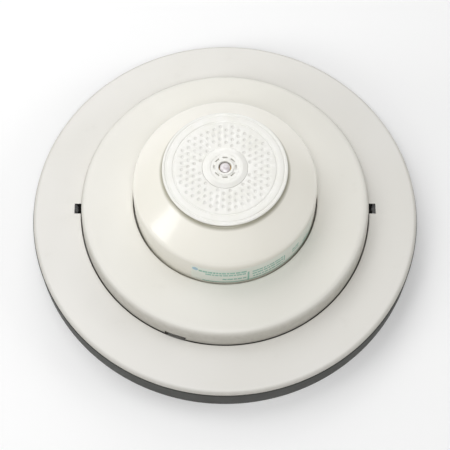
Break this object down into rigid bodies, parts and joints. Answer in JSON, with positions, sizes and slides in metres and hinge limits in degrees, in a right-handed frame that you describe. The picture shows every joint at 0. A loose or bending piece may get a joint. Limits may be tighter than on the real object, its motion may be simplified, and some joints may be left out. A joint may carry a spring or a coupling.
{
  "type": "heat detector",
  "caption": "Ceiling heat detector: cream head with an embossed heat-collector disc, stepped white housing that twists on to a bracket, and a wide round trim plate.",
  "frame": {"origin": "centre of the back, on the ceiling's surface, with the detector lying on its back", "axes": "+Z is the detector's axis, away from the ceiling; +X runs through the right-hand window of the trim plate, and -Y is the near side"},
  "size_m": [0.1556, 0.1556, 0.0498],
  "materials": {
    "white_abs": "fine matt moulded ABS",
    "cream_abs": "smooth satin-gloss moulded ABS",
    "charcoal_abs": "matt moulded charcoal ABS",
    "base_grey": "matt moulded thermoplastic",
    "phenolic": "pressed phenolic board",
    "zinc_steel": "zinc-plated stamped steel",
    "brass": "machined brass",
    "bronze": "rolled phosphor bronze",
    "silver": "silver contact",
    "spring_steel": "drawn spring wire",
    "coated_aluminium": "ivory enamel on embossed aluminium",
    "solder": "eutectic fusible alloy",
    "rubber": "moulded seal rubber"
  },
  "bodies": {
    "ceiling_mount": {"back_ring": "charcoal_abs", "trim_plate": "white_abs", "mounting_bracket": "zinc_steel"},
    "collector": {"heat_collector": "coated_aluminium", "collector_hub": "coated_aluminium", "fusible_plug": "solder"},
    "plunger_rod": {"plunger": "brass"},
    "pressure_stud": {"diaphragm_stud": "brass"},
    "plunger_leaf_arm": {"plunger_leaf": "bronze", "plunger_leaf_contact": "silver"},
    "rise_leaf_arm": {"rise_leaf": "bronze", "rise_leaf_contact": "silver"},
    "detector": {"housing_ring": "white_abs", "base_plate": "base_grey", "head_cover": "cream_abs", "chamber_floor": "phenolic", "breather_vent": "bronze", "chamber_seal": "rubber", "diaphragm": "bronze", "diaphragm_clamp_ring": "brass", "guide_tube": "brass", "guide_seal": "rubber", "guide_nut": "brass", "plunger_spring": "spring_steel", "plunger_contact": "silver", "rise_contact_bracket": "brass", "calibration_screw": "brass", "plunger_leaf_rivet": "brass", "rise_leaf_rivet": "brass", "base_screw_1": "zinc_steel", "terminal_screw_1": "zinc_steel", "terminal_clamp_1": "zinc_steel", "terminal_plate_1": "brass", "base_screw_2": "zinc_steel", "terminal_screw_2": "zinc_steel", "terminal_clamp_2": "zinc_steel", "terminal_plate_2": "brass", "base_screw_3": "zinc_steel", "terminal_screw_3": "zinc_steel", "terminal_clamp_3": "zinc_steel", "terminal_plate_3": "brass", "base_screw_4": "zinc_steel", "terminal_screw_4": "zinc_steel", "terminal_clamp_4": "zinc_steel", "terminal_plate_4": "brass", "chamber_screw_1": "zinc_steel", "chamber_screw_2": "zinc_steel", "chamber_screw_3": "zinc_steel"}
  },
  "joints": [
    {"name": "twist_lock", "type": "hinge", "parent": "ceiling_mount", "child": "detector", "pos_m": [0, 0, 0], "axis": [0, 0, 1], "range_deg": [0, 16]},
    {"name": "collector_release", "type": "slide", "parent": "detector", "child": "collector", "axis": [0, 0, 1], "range_m": [0, 0.006]},
    {"name": "plunger_release", "type": "slide", "parent": "detector", "child": "plunger_rod", "axis": [0, 0, -1], "range_m": [0, 0.0016], "deforming": ["plunger_spring"]},
    {"name": "plunger_leaf_bend", "type": "hinge", "parent": "detector", "child": "plunger_leaf_arm", "pos_m": [0.013, 0, 0.0142], "axis": [0, -1, 0], "range_deg": [0, 6.8]},
    {"name": "diaphragm_press", "type": "slide", "parent": "detector", "child": "pressure_stud", "axis": [0, 0, -1], "range_m": [0, 0.0008], "stiffness_N_per_m": 100, "deforming": ["diaphragm"]},
    {"name": "rise_leaf_bend", "type": "hinge", "parent": "detector", "child": "rise_leaf_arm", "pos_m": [-0.012, 0.018, 0.0162], "axis": [0, 1, 0], "range_deg": [0, 4]}
  ],
  "couplings": [
    {"joint": "plunger_release", "follows": "collector_release", "ratio": 0.2666},
    {"joint": "plunger_leaf_bend", "follows": "collector_release", "rad_per_m": 19.77},
    {"joint": "rise_leaf_bend", "follows": "diaphragm_press", "rad_per_m": 87.2}
  ]
}
